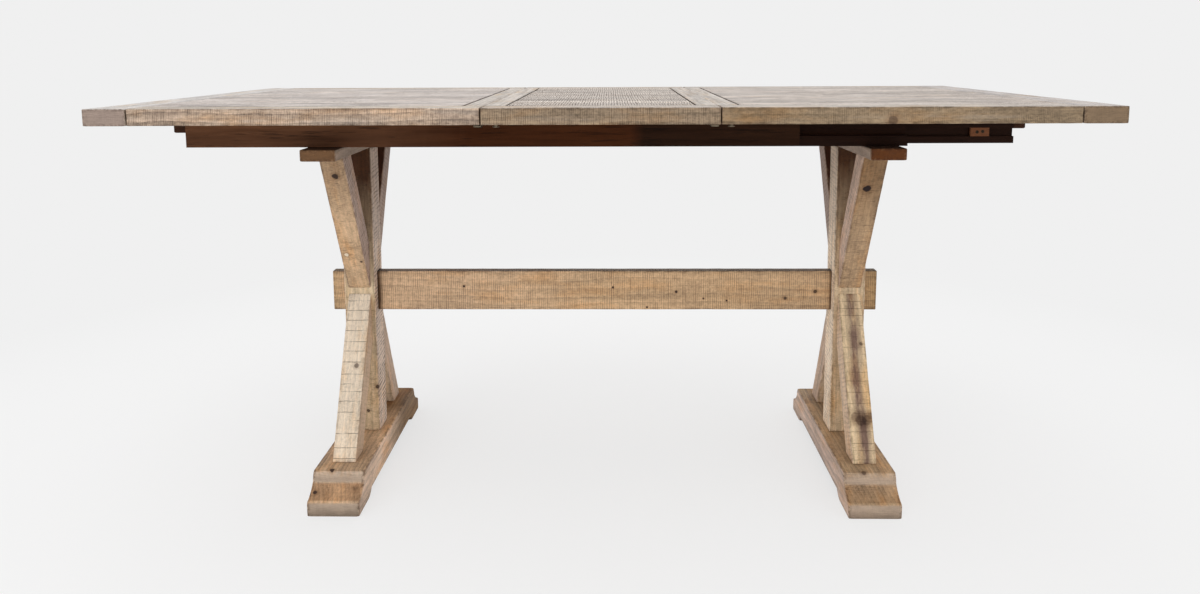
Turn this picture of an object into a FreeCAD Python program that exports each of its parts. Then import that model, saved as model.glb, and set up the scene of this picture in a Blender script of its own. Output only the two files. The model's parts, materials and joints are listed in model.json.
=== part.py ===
import FreeCAD, Part
import math
import os
from FreeCAD import Vector

# Counter-height trestle dining table with one leaf, on geared wooden slides.
# Lengths are in millimetres. X runs along the table, +Y to the back and +Z up from the floor.
# The origin is on the floor under the middle of the top. The leaf is in place at rest.

# Table top
table_length = 1981.2
table_depth = 1016.0
table_height = 914.4
leaf_length = 457.2
top_thickness = 33.0
seam_gap = 0.4
end_board_width = 82.5
border_board_width = 75.0
cross_board_width = 40.0
plank_width_shares = (0.085, 0.125, 0.14, 0.12, 0.178, 0.176, 0.176)
board_chamfer = 1.0
board_tongue_length = 12.0
board_tongue_thickness = 10.0
board_tongue_clearance = 0.5
plank_end_inset = 6.0

# Trestles
trestle_end_inset = 393.1
post_side = 76.2
post_tenon_side = 38.0
foot_tenon_length = 30.0
beam_tenon_length = 14.0
beam_length = 656.0
beam_thickness = 25.4
wood_chamfer = 2.0

# Feet
foot_width = 117.0
foot_length = 652.0
foot_height = 81.5
foot_top_setback = 59.0
foot_shoulder_drop = 21.5
foot_shoulder_run = 11.0
foot_shoulder_bulge = 2.5
foot_cove_end_height = 34.0
foot_cove_bulge = 3.5
foot_nose_radius = 8.0
foot_pad_length = 83.0
foot_arch_rise = 15.0
foot_arch_run = 30.0
foot_arch_bulge = 3.5

# Legs
leg_width = 55.0
leg_thickness = 59.0
leg_floor_reach = 228.6
leg_beam_reach = 237.0
leg_joint_height = 440.0
leg_joint_gap = 12.0

# Stretcher
stretcher_end_reach = 72.1
stretcher_height = 98.4
stretcher_thickness = 28.0
stretcher_joint_drop = 54.4
mortise_clearance = 0.7
stretcher_peg_side = 12.0
stretcher_peg_drop = 76.0

# Slides
slide_face_reach = 285.0
rail_height = 63.5
rail_thickness = 28.6
moving_rail_end_inset = 97.6
moving_rail_past_middle = 420.0
fixed_rail_end_reach = 53.1
slide_clearance = 1.0
side_clearance = 0.4
lift_clearance = 0.5
skirt_thickness = 7.6
ledge_width = 18.0
ledge_height = 22.0
flange_width = 8.0
flange_height = 13.0
rail_tongue_width = 8.0
rail_tongue_height = 18.0
lip_height = 15.0
stop_length = 40.0
stop_gap = 0.5
stop_end_margin = 52.9
end_cleat_width = 46.0
end_cleat_thickness = 34.0
end_cleat_inset = 61.6

# Equaliser gears
gear_module = 3.0
pinion_teeth = 12
pressure_angle = 20.0
addendum_share = 0.8
dedendum_share = 1.0
tooth_backlash = 0.3
pinion_thickness = 8.0
pinion_end_gap = 0.5
pocket_clearance = 0.8
rack_back = 3.5
rack_margin = 14.0
open_travel = 25.4
axle_diameter = 6.0
axle_clearance = 0.05
axle_head_across = 10.0
axle_head_height = 4.0
axle_head_recess = 1.0
axle_pocket_diameter = 12.4
axle_top_cover = 7.0

# Bolts that hold the fixed rails to the beams
rail_bolt_diameter = 8.0
rail_bolt_clearance = 0.05
rail_bolt_bite = 40.0
rail_bolt_head_across = 13.0
rail_bolt_head_height = 5.3

# Leaf pins
pin_diameter = 9.5
pin_out_length = 20.0
pin_in_length = 24.0
pin_clearance = 0.08
pin_nose = 2.0
pin_spread = 330.0
pins_per_seam = 2

# Table locks
lock_inset = 45.0
lock_pivot_to_seam = 9.0
lock_keeper_to_seam = 24.5
lock_plate_to_seam = 1.5
lock_plate_length = 36.0
lock_plate_width = 28.0
lock_plate_thickness = 2.0
lock_plate_corner = 1.6
lock_keeper_width = 16.0
lock_stud_diameter = 7.0
lock_head_across = 12.0
lock_head_thickness = 1.6
lever_thickness = 3.0
lever_gap = 0.4
lever_bore_clearance = 0.06
lever_width = 14.0
lever_corner = 3.0
lever_slot_width = 9.2
lever_tip_cover = 8.0
lever_tail_length = 24.0

# Cuts run past the faces they open by this much
cut_overrun = 5.0

half_turn = 180.0

# Heights and places that follow from the sizes above
seam_x = leaf_length / 2
close_travel = leaf_length / 2
trestle_centre_x = table_length / 2 - trestle_end_inset
stretcher_half = trestle_centre_x + stretcher_end_reach
stretcher_underside = leg_joint_height - stretcher_joint_drop
fixed_rail_half = trestle_centre_x + fixed_rail_end_reach
moving_rail_overhang = table_length / 2 - moving_rail_end_inset
stop_start = moving_rail_overhang - stop_end_margin - stop_length
rail_tongue_half = stop_start - stop_gap - close_travel
underside = table_height - top_thickness
beam_top = underside - slide_clearance - rail_height
beam_underside = beam_top - beam_thickness
post_half = post_side / 2
moving_rail_base = underside - rail_height
fixed_rail_top = beam_top + rail_height
ledge_top = beam_top + ledge_height
flange_underside = fixed_rail_top - flange_height
outer_tongue_top = flange_underside - lift_clearance
lip_top = moving_rail_base + lip_height
inner_tongue_base = lip_top + lift_clearance
inner_tongue_top = inner_tongue_base + rail_tongue_height

# Distances from the outer face of a slide set, towards the middle of the table
ledge_face = skirt_thickness + side_clearance
fixed_body_face = ledge_face + ledge_width
flange_face = fixed_body_face - flange_width
fixed_body_back = fixed_body_face + rail_thickness
inner_rail_face = fixed_body_back + side_clearance
inner_rail_back = inner_rail_face + rail_thickness
groove_depth = rail_tongue_width + side_clearance

# Gears sit between the top of the inner tongue and the top of the outer one
pitch_radius = gear_module * pinion_teeth / 2
gear_middle_height = (inner_tongue_top + outer_tongue_top) / 2
gear_line = (fixed_body_face + fixed_body_back) / 2
rack_height = pinion_thickness + 2 * pinion_end_gap
rack_base = gear_middle_height - rack_height / 2
addendum = addendum_share * gear_module
dedendum = dedendum_share * gear_module
rack_depth = addendum + dedendum + rack_back


def box(x0, x1, y0, y1, z0, z1):
    """A block between two corners."""
    return Part.makeBox(x1 - x0, y1 - y0, z1 - z0, Vector(x0, y0, z0))


def eased(shape, size, keep_edge):
    """Chamfer the straight edges that keep_edge picks."""
    picked = [edge for edge in shape.Edges if keep_edge(edge)]
    return shape.makeChamfer(size, picked)


def along(edge, direction):
    """True where a straight edge runs along a direction."""
    run = edge.Vertexes[-1].Point - edge.Vertexes[0].Point
    return edge.Length > 0 and run.cross(direction).Length < board_chamfer


def face_of(points):
    """A flat face inside a closed row of points."""
    return Part.Face(Part.makePolygon(points + points[:1]))


def slide_profile(pairs, x0, x1):
    """Extrude an outline of (distance from the slide's outer face, height) along X, front set."""
    points = [Vector(x0, depth - slide_face_reach, height) for depth, height in pairs]
    return face_of(points).extrude(Vector(x1 - x0, 0, 0))


def turned(shape):
    """The same shape half a turn round the middle of the table."""
    copy = shape.copy()
    copy.rotate(Vector(0, 0, 0), Vector(0, 0, 1), half_turn)
    return copy


def mirrored(shape, normal):
    """The same shape mirrored through the middle of the table."""
    return shape.mirror(Vector(0, 0, 0), normal)


def rod(diameter, length, base, direction):
    """A round rod from a point along a direction."""
    return Part.makeCylinder(diameter / 2, length, base, direction)


def upright(diameter, low, high, x, y):
    """A round rod between two heights."""
    return rod(diameter, high - low, Vector(x, y, low), Vector(0, 0, 1))


def bulged(start, end, bulge):
    """An arc between two points of the YZ plane that stands out to the left of the chord."""
    chord = end - start
    side = Vector(0, -chord.z, chord.y).normalize()
    return Part.Arc(start, (start + end) / 2 + side * bulge, end).toShape()


def top_board(x0, x1, y0, y1):
    """A board of the top with its upper edges eased."""
    block = box(x0, x1, y0, y1, underside, table_height)
    upper = lambda edge: min(vertex.Z for vertex in edge.Vertexes) > table_height - board_chamfer / 2
    return eased(block, board_chamfer, upper)


def tongue_between(x0, x1, y0, y1, clearance):
    """The tongue that a board end carries, or the groove that takes it."""
    middle = underside + top_thickness / 2
    low = middle - board_tongue_thickness / 2
    return box(x0, x1, y0 + clearance, y1 - clearance, low, low + board_tongue_thickness)


def plank_rows():
    """Front and back edge of each plank between the border boards."""
    field_front = border_board_width - table_depth / 2
    field_depth = table_depth - 2 * border_board_width
    rows = []
    start = field_front
    for share in plank_width_shares:
        rows.append((start, start + share * field_depth))
        start = start + share * field_depth
    return rows


def field_planks(x0, x1):
    """The planks of one panel, with a tongue on both ends."""
    planks = []
    for front, back in plank_rows():
        plank = top_board(x0, x1, front, back)
        reach = board_tongue_length - board_tongue_clearance
        tongue = tongue_between(x0 - reach, x1 + reach, front, back, plank_end_inset)
        planks.append(plank.fuse(tongue).removeSplitter())
    return Part.makeCompound(planks)


def cross_board(x0, x1, grooved_sides):
    """A board across the planks, grooved for their tongues, between the border boards."""
    reach = table_depth / 2 - border_board_width
    board = top_board(x0, x1, -reach, reach)
    if "low" in grooved_sides:
        board = board.cut(tongue_between(x0 - cut_overrun, x0 + board_tongue_length, -reach, reach, 0))
    if "high" in grooved_sides:
        board = board.cut(tongue_between(x1 - board_tongue_length, x1 + cut_overrun, -reach, reach, 0))
    return board


def pin_places():
    """Places of the pins along a seam."""
    step = 2 * pin_spread / (pins_per_seam - 1)
    return [-pin_spread + step * index for index in range(pins_per_seam)]


def pin_holes(x0, x1):
    """Holes along X for the pins of one seam."""
    height = underside + top_thickness / 2
    width = pin_diameter + 2 * pin_clearance
    holes = [rod(width, x1 - x0, Vector(x0, y, height), Vector(1, 0, 0)) for y in pin_places()]
    return Part.makeCompound(holes)


def seam_pins(edge_x):
    """Round-nosed pins that stand out of a seam edge towards +X."""
    height = underside + top_thickness / 2
    pins = []
    for y in pin_places():
        base = Vector(edge_x - pin_in_length, y, height)
        pin = rod(pin_diameter, pin_in_length + pin_out_length, base, Vector(1, 0, 0))
        nose = lambda edge: edge.CenterOfMass.x > edge_x + pin_out_length - pin_nose / 2
        pins.append(eased(pin, pin_nose, nose))
    return Part.makeCompound(pins)


def left_top_boards():
    """The boards of the left half of the top."""
    outer = -table_length / 2
    inner = -seam_x - seam_gap
    field_start = outer + end_board_width
    field_end = inner - cross_board_width
    reach = table_depth / 2
    field_reach = reach - border_board_width
    groove_start = field_start - board_tongue_length
    groove = tongue_between(groove_start, field_start + cut_overrun, -reach, reach, plank_end_inset)
    end_board = top_board(outer, field_start, -reach, reach).cut(groove)
    front = top_board(field_start, inner, -reach, -field_reach)
    tongue_start = groove_start + board_tongue_clearance
    tongue = tongue_between(tongue_start, field_start, -reach, -field_reach, plank_end_inset * 2)
    front = front.fuse(tongue).removeSplitter()
    holes = pin_holes(inner - pin_in_length, inner + cut_overrun)
    cross = cross_board(field_end, inner, ["low"])
    return {
        "end_board": end_board,
        "front_board": front,
        "back_board": mirrored(front, Vector(0, 1, 0)),
        "cross_board": cross.cut(holes),
        "planks": field_planks(field_start, field_end),
    }


def leaf_boards():
    """The boards of the leaf, between the two seams."""
    reach = table_depth / 2
    field_reach = reach - border_board_width
    inner = seam_x - cross_board_width
    front = top_board(-seam_x, seam_x, -reach, -field_reach)
    left_cross = cross_board(-seam_x, -inner, ["high"])
    right_cross = cross_board(inner, seam_x, ["low"])
    return {
        "leaf_front_board": front,
        "leaf_back_board": mirrored(front, Vector(0, 1, 0)),
        "leaf_left_cross_board": left_cross.cut(pin_holes(-seam_x - cut_overrun, pin_in_length - seam_x)),
        "leaf_right_cross_board": right_cross.cut(pin_holes(seam_x - pin_in_length, seam_x + cut_overrun)),
        "leaf_planks": field_planks(-inner, inner),
    }


def foot():
    """A foot with ogee ends and a raised middle, along Y, on the middle of X."""
    half = foot_length / 2
    top_end = half - foot_top_setback
    shoulder_end = top_end + foot_shoulder_run
    shoulder_height = foot_height - foot_shoulder_drop
    pad_end = half - foot_pad_length
    at = lambda y, z: Vector(-foot_width / 2, y, z)
    nose_start = at(half - foot_nose_radius, foot_cove_end_height)
    nose_end = at(half, foot_cove_end_height - foot_nose_radius)
    nose_centre = at(half - foot_nose_radius, foot_cove_end_height - foot_nose_radius)
    out_up = Vector(0, 1, 1).normalize()
    shoulder = at(shoulder_end, shoulder_height)
    edges = [
        Part.makeLine(at(0, foot_height), at(top_end, foot_height)),
        bulged(at(top_end, foot_height), shoulder, foot_shoulder_bulge),
        bulged(shoulder, nose_start, -foot_cove_bulge),
        Part.Arc(nose_start, nose_centre + out_up * foot_nose_radius, nose_end).toShape(),
        Part.makeLine(nose_end, at(half, 0)),
        Part.makeLine(at(half, 0), at(pad_end, 0)),
        bulged(at(pad_end, 0), at(pad_end - foot_arch_run, foot_arch_rise), foot_arch_bulge),
        Part.makeLine(at(pad_end - foot_arch_run, foot_arch_rise), at(0, foot_arch_rise)),
        Part.makeLine(at(0, foot_arch_rise), at(0, foot_height)),
    ]
    back_half = Part.Face(Part.Wire(edges)).extrude(Vector(foot_width, 0, 0))
    whole = back_half.fuse(mirrored(back_half, Vector(0, 1, 0))).removeSplitter()
    side = post_tenon_side / 2
    mortise_floor = foot_height - foot_tenon_length
    mortise = box(-side, side, -side, side, mortise_floor, foot_height + cut_overrun)
    return whole.cut(mortise)


def post():
    """The square post of a trestle, with a tenon at each end and a mortise for the stretcher."""
    body = box(-post_half, post_half, -post_half, post_half, foot_height, beam_underside)
    body = eased(body, wood_chamfer, lambda edge: along(edge, Vector(0, 0, 1)))
    side = post_tenon_side / 2
    low = foot_height - foot_tenon_length
    body = body.fuse(box(-side, side, -side, side, low, beam_underside + beam_tenon_length))
    slot_half = stretcher_thickness / 2 + mortise_clearance
    slot_top = stretcher_underside + stretcher_height + mortise_clearance
    ends = post_half + cut_overrun
    body = body.cut(box(-ends, ends, -slot_half, slot_half, stretcher_underside, slot_top))
    return body.removeSplitter().cut(stretcher_peg())


def stretcher_peg():
    """The square peg through a post and the stretcher, on the middle of X."""
    half = stretcher_peg_side / 2
    high = stretcher_underside + stretcher_height - stretcher_peg_drop + stretcher_peg_side
    return box(-half, half, -post_half, post_half, high - stretcher_peg_side, high)


def leg(reach, far_height, near_height):
    """A slanted leg on the front face of the post, on the middle of X."""
    slope = (reach - post_half) / (far_height - near_height)
    lean = math.hypot(1, slope)
    level_width = leg_thickness * lean
    upright_width = level_width / slope
    outline = [
        Vector(-leg_width / 2, -reach, far_height),
        Vector(-leg_width / 2, -post_half, near_height),
        Vector(-leg_width / 2, -post_half, near_height + upright_width),
        Vector(-leg_width / 2, -reach + abs(level_width), far_height),
    ]
    body = face_of(outline).extrude(Vector(leg_width, 0, 0))
    axis = (outline[0] - outline[1]).normalize()
    return eased(body, wood_chamfer, lambda edge: along(edge, axis))


def beam():
    """The board on top of a trestle that carries the slides."""
    half = beam_length / 2
    body = box(-post_half, post_half, -half, half, beam_underside, beam_top)
    lower = lambda edge: max(vertex.Z for vertex in edge.Vertexes) < beam_underside + wood_chamfer
    body = eased(body, wood_chamfer, lower)
    side = post_tenon_side / 2
    mortise_top = beam_underside + beam_tenon_length
    body = body.cut(box(-side, side, -side, side, beam_underside - cut_overrun, mortise_top))
    line = slide_face_reach - gear_line
    width = rail_bolt_diameter + 2 * rail_bolt_clearance
    for y in (-line, line):
        body = body.cut(upright(width, beam_underside - cut_overrun, beam_top + cut_overrun, 0, y))
    return body


def rail_bolts():
    """Hexagon bolts from under the beams into the fixed rails."""
    line = slide_face_reach - gear_line
    bolts = []
    for x in (-trestle_centre_x, trestle_centre_x):
        for y in (-line, line):
            place = Vector(x, y, beam_underside - rail_bolt_head_height)
            head = hexagon(place, rail_bolt_head_across, rail_bolt_head_height)
            shank = upright(rail_bolt_diameter, beam_underside, beam_top + rail_bolt_bite, x, y)
            bolts.append(head.fuse(shank).removeSplitter())
    return Part.makeCompound(bolts)


def hexagon(place, across, height):
    """A hexagon head standing on a point."""
    sides = 6
    corner_radius = across / 2 / math.cos(math.pi / sides)
    turns = [2 * math.pi * step / sides for step in range(sides)]
    points = [place + Vector(math.cos(turn), math.sin(turn), 0) * corner_radius for turn in turns]
    return face_of(points).extrude(Vector(0, 0, height))


def stretcher():
    """The long board between the trestles, through both posts."""
    thick = stretcher_thickness / 2
    top = stretcher_underside + stretcher_height
    body = box(-stretcher_half, stretcher_half, -thick, thick, stretcher_underside, top)
    body = eased(body, wood_chamfer, lambda edge: edge.Length < stretcher_half)
    for x in (-trestle_centre_x, trestle_centre_x):
        body = body.cut(stretcher_peg().translated(Vector(x, 0, 0)))
    return body


def outer_rail():
    """The outer rail of the front set, under the left half, with the tongue that rides the ledge."""
    start = -moving_rail_overhang
    end = moving_rail_past_middle
    tongue_face = fixed_body_face - side_clearance
    upper_face = flange_face - side_clearance
    body = slide_profile([
        (0, moving_rail_base), (skirt_thickness, moving_rail_base), (skirt_thickness, ledge_top),
        (tongue_face, ledge_top), (tongue_face, outer_tongue_top), (upper_face, outer_tongue_top),
        (upper_face, underside), (0, underside),
    ], start, end)
    low, high = rack_span()
    back = gear_line - pitch_radius - dedendum - rack_back
    slot = slide_profile([
        (back, rack_base), (tongue_face + cut_overrun, rack_base),
        (tongue_face + cut_overrun, rack_base + rack_height), (back, rack_base + rack_height),
    ], low, high)
    return body.cut(slot)


def inner_rail():
    """The inner rail of the front set, under the right half, hooked under the fixed tongue."""
    end = moving_rail_overhang
    start = -moving_rail_past_middle
    groove_back = inner_rail_face + groove_depth
    body = slide_profile([
        (inner_rail_face, moving_rail_base), (inner_rail_back, moving_rail_base),
        (inner_rail_back, underside), (inner_rail_face, underside),
        (inner_rail_face, inner_tongue_top), (groove_back, inner_tongue_top),
        (groove_back, lip_top), (inner_rail_face, lip_top),
    ], start, end)
    low, high = rack_span()
    back = gear_line + pitch_radius + dedendum + rack_back
    slot = slide_profile([
        (inner_rail_face - cut_overrun, rack_base), (back, rack_base),
        (back, rack_base + rack_height), (inner_rail_face - cut_overrun, rack_base + rack_height),
    ], -high, -low)
    return body.cut(slot)


def fixed_rail():
    """The rail between them, bolted to the beams, with the ledge, the flange and the tongue."""
    body = slide_profile([
        (ledge_face, beam_top), (fixed_body_back, beam_top), (fixed_body_back, fixed_rail_top),
        (flange_face, fixed_rail_top), (flange_face, flange_underside),
        (fixed_body_face, flange_underside), (fixed_body_face, ledge_top), (ledge_face, ledge_top),
    ], -fixed_rail_half, fixed_rail_half)
    tongue_face = fixed_body_back + rail_tongue_width
    body = body.fuse(slide_profile([
        (fixed_body_back, inner_tongue_base), (tongue_face, inner_tongue_base),
        (tongue_face, inner_tongue_top), (fixed_body_back, inner_tongue_top),
    ], -rail_tongue_half, rail_tongue_half)).removeSplitter()
    line = gear_line - slide_face_reach
    pocket_width = 2 * (pitch_radius + addendum + pocket_clearance)
    body = body.cut(upright(pocket_width, rack_base, rack_base + rack_height, 0, line))
    body = body.cut(axle_hole(line))
    width = rail_bolt_diameter + 2 * rail_bolt_clearance
    for x in (-trestle_centre_x, trestle_centre_x):
        body = body.cut(upright(width, beam_top - cut_overrun, beam_top + rail_bolt_bite, x, line))
    return body


def pinion_axle(line):
    """The shoulder bolt that a pinion turns on, with its hexagon head in the fixed rail."""
    head_low = beam_top + axle_head_recess
    shank_low = head_low + axle_head_height
    shank = upright(axle_diameter, shank_low, fixed_rail_top - axle_top_cover, 0, line)
    head = hexagon(Vector(0, line, head_low), axle_head_across, axle_head_height)
    return shank.fuse(head).removeSplitter()


def axle_hole(line):
    """The hole for a pinion's bolt, with a round pocket for its head."""
    shank_low = beam_top + axle_head_recess + axle_head_height
    width = axle_diameter + 2 * axle_clearance
    shank = upright(width, shank_low, fixed_rail_top - axle_top_cover, 0, line)
    pocket = upright(axle_pocket_diameter, beam_top - cut_overrun, shank_low, 0, line)
    return shank.fuse(pocket)


def rack_span():
    """First and last X of the rack on the left half's outer rail, at rest."""
    return -close_travel - rack_margin, open_travel + rack_margin


def closing_stop():
    """The block in the groove of the right half's inner rail that meets the fixed tongue."""
    groove_back = inner_rail_face + groove_depth
    return slide_profile([
        (inner_rail_face, lip_top), (groove_back, lip_top),
        (groove_back, inner_tongue_top), (inner_rail_face, inner_tongue_top),
    ], stop_start, stop_start + stop_length)


def end_cleat():
    """The cleat across the left half, between its two rails."""
    front = fixed_body_face - side_clearance - slide_face_reach
    back = slide_face_reach - inner_rail_back
    start = end_cleat_inset - table_length / 2
    low = underside - end_cleat_thickness
    body = box(start, start + end_cleat_width, front, back, low, underside)
    lower = lambda edge: max(vertex.Z for vertex in edge.Vertexes) < low + wood_chamfer
    return eased(body, wood_chamfer, lower)


def rack():
    """The rack in the left half's outer rail, with its teeth towards the middle."""
    low, high = rack_span()
    pitch = math.pi * gear_module
    slope = math.tan(math.radians(pressure_angle))
    half_tooth = (pitch - tooth_backlash) / 4
    back = rack_back + dedendum + pitch_radius
    line = gear_line - slide_face_reach
    at = lambda x, depth: Vector(x, line - depth, rack_base)
    root_depth = pitch_radius + dedendum
    tip_depth = pitch_radius - addendum
    points = [at(low, back), at(low, root_depth)]
    first = math.ceil((low + pitch) / pitch)
    last = math.floor((high - pitch) / pitch)
    for tooth in range(first, last + 1):
        middle = (tooth - 1 / 2) * pitch
        root_half = half_tooth + dedendum * slope
        tip_half = half_tooth - addendum * slope
        points.append(at(middle - root_half, root_depth))
        points.append(at(middle - tip_half, tip_depth))
        points.append(at(middle + tip_half, tip_depth))
        points.append(at(middle + root_half, root_depth))
    points.append(at(high, root_depth))
    points.append(at(high, back))
    return face_of(points).extrude(Vector(0, 0, rack_height))


def pinion():
    """A pinion with involute teeth, in the pocket of the front fixed rail."""
    base_radius = pitch_radius * math.cos(math.radians(pressure_angle))
    root_radius = pitch_radius - dedendum
    tip_radius = pitch_radius + addendum
    involute = lambda angle: math.tan(angle) - angle
    pitch_half = math.pi / 2 / pinion_teeth - tooth_backlash / 4 / pitch_radius
    spread = pitch_half + involute(math.radians(pressure_angle))
    radii = [root_radius, base_radius, pitch_radius, tip_radius]
    flank = []
    for radius in radii:
        angle = math.acos(min(1, base_radius / radius))
        flank.append((radius, spread - involute(angle)))
    outline = []
    for tooth in range(pinion_teeth):
        middle = -math.pi / 2 + 2 * math.pi * tooth / pinion_teeth
        for radius, half in flank:
            outline.append((radius, middle - half))
        for radius, half in reversed(flank):
            outline.append((radius, middle + half))
    line = gear_line - slide_face_reach
    low = gear_middle_height - pinion_thickness / 2
    points = [Vector(r * math.cos(turn), r * math.sin(turn) + line, low) for r, turn in outline]
    body = face_of(points).extrude(Vector(0, 0, pinion_thickness))
    bore = axle_diameter + 2 * axle_clearance
    return body.cut(upright(bore, low - cut_overrun, low + pinion_thickness + cut_overrun, 0, line))


def lock_base(x0, x1, y):
    """The flat plate of a lock piece, screwed under the top."""
    half = lock_plate_width / 2
    plate = box(x0, x1, y - half, y + half, underside - lock_plate_thickness, underside)
    return eased(plate, lock_plate_corner, lambda edge: along(edge, Vector(0, 0, 1)))


def headed_stud(x, y):
    """The stud under a lock plate, with a hexagon head below the lever."""
    low = underside - lock_plate_thickness
    head_top = low - lever_thickness - 2 * lever_gap
    stud = upright(lock_stud_diameter, head_top, low, x, y)
    head = hexagon(Vector(x, y, head_top - lock_head_thickness), lock_head_across, lock_head_thickness)
    return stud.fuse(head)


def lock_plate(seam, y):
    """The plate and pivot of a table lock, on the left of a seam."""
    end = seam - lock_plate_to_seam
    plate = lock_base(end - lock_plate_length, end, y)
    return plate.fuse(headed_stud(seam - lock_pivot_to_seam, y)).removeSplitter()


def lock_keeper(seam, y):
    """The plate and stud that a lever hooks round, on the right of a seam."""
    x = seam + lock_keeper_to_seam
    half = lock_keeper_width / 2
    return lock_base(x - half, x + half, y).fuse(headed_stud(x, y)).removeSplitter()


def lock_lever(seam, y):
    """A lever on its pivot, open at rest: it points to the middle and its slot faces the seam."""
    x = seam - lock_pivot_to_seam
    inward = -math.copysign(1, y)
    reach = lock_pivot_to_seam + lock_keeper_to_seam
    high = underside - lock_plate_thickness - lever_gap
    low = high - lever_thickness
    half = lever_width / 2
    ends = sorted((y - lever_tail_length * inward, y + (reach + lever_tip_cover) * inward))
    arm = box(x - half, x + half, ends[0], ends[1], low, high)
    arm = eased(arm, lever_corner, lambda edge: along(edge, Vector(0, 0, 1)))
    slot_place = y + reach * inward
    slot_half = lever_slot_width / 2
    below, above = low - cut_overrun, high + cut_overrun
    front, back = slot_place - slot_half, slot_place + slot_half
    arm = arm.cut(box(x - slot_half, x + lever_width, front, back, below, above))
    bore = lock_stud_diameter + 2 * lever_bore_clearance
    return arm.cut(upright(bore, below, above, x, y))


def both_ends(make, seam):
    """The front and back copy of a lock piece at one seam."""
    lock_y = table_depth / 2 - lock_inset
    return Part.makeCompound([make(seam, -lock_y), make(seam, lock_y)])


def trestle_nodes():
    """Feet, posts, legs and beams of both trestles."""
    upper = leg(leg_beam_reach, beam_underside, leg_joint_height + leg_joint_gap / 2)
    lower = leg(leg_floor_reach, foot_height, leg_joint_height - leg_joint_gap / 2)
    pieces = {
        "foot": foot(),
        "post": post(),
        "beam": beam(),
        "front_upper_leg": upper,
        "front_lower_leg": lower,
        "back_upper_leg": mirrored(upper, Vector(0, 1, 0)),
        "back_lower_leg": mirrored(lower, Vector(0, 1, 0)),
    }
    nodes = {}
    for side, centre in (("left", -trestle_centre_x), ("right", trestle_centre_x)):
        for name, shape in pieces.items():
            nodes[f"{side}_{name}"] = shape.translated(Vector(centre, 0, 0))
    return nodes


def base_nodes():
    """Everything that stands still on the floor."""
    nodes = trestle_nodes()
    nodes["stretcher"] = stretcher()
    left_peg = stretcher_peg().translated(Vector(-trestle_centre_x, 0, 0))
    nodes["stretcher_pegs"] = Part.makeCompound([left_peg, turned(left_peg)])
    nodes["front_fixed_rail"] = fixed_rail()
    nodes["back_fixed_rail"] = turned(fixed_rail())
    axle = pinion_axle(gear_line - slide_face_reach)
    nodes["pinion_axles"] = Part.makeCompound([axle, turned(axle)])
    nodes["rail_bolts"] = rail_bolts()
    return nodes


def top_nodes():
    """The two halves of the top, the leaf and what is fixed under them."""
    nodes = leaf_boards()
    for name, shape in left_top_boards().items():
        nodes[f"left_{name}"] = shape
        nodes[f"right_{name}"] = mirrored(shape, Vector(1, 0, 0))
    nodes["left_outer_rail"] = outer_rail()
    nodes["right_outer_rail"] = turned(outer_rail())
    nodes["right_inner_rail"] = inner_rail()
    nodes["left_inner_rail"] = turned(inner_rail())
    nodes["left_outer_rack"] = rack()
    nodes["right_outer_rack"] = turned(rack())
    line = gear_line - slide_face_reach
    inner_rack = rack()
    inner_rack.rotate(Vector(0, line, 0), Vector(0, 0, 1), half_turn)
    nodes["right_inner_rack"] = inner_rack
    nodes["left_inner_rack"] = turned(inner_rack)
    nodes["right_closing_stop"] = closing_stop()
    nodes["left_closing_stop"] = turned(closing_stop())
    nodes["left_end_cleat"] = end_cleat()
    nodes["right_end_cleat"] = turned(end_cleat())
    nodes["left_pins"] = seam_pins(-seam_x - seam_gap)
    nodes["leaf_pins"] = seam_pins(seam_x)
    return nodes


def moving_small_nodes():
    """Pinions and the table locks."""
    lock_y = table_depth / 2 - lock_inset
    nodes = {"front_pinion": pinion(), "back_pinion": turned(pinion())}
    nodes["left_lock_plates"] = both_ends(lock_plate, -seam_x)
    nodes["leaf_lock_plates"] = both_ends(lock_plate, seam_x)
    nodes["leaf_keepers"] = both_ends(lock_keeper, -seam_x)
    nodes["right_keepers"] = both_ends(lock_keeper, seam_x)
    for side, seam in (("left", -seam_x), ("leaf", seam_x)):
        nodes[f"{side}_front_lever"] = lock_lever(seam, -lock_y)
        nodes[f"{side}_back_lever"] = lock_lever(seam, lock_y)
    return nodes


os.makedirs("parts", exist_ok=True)
all_nodes = {**base_nodes(), **top_nodes(), **moving_small_nodes()}
for node_name, node_shape in all_nodes.items():
    node_shape.exportStep(f"parts/{node_name}.step")
print(len(all_nodes), "nodes")
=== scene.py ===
import json
import math

import bmesh
import bpy
from mathutils import Matrix, Vector, noise

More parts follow.
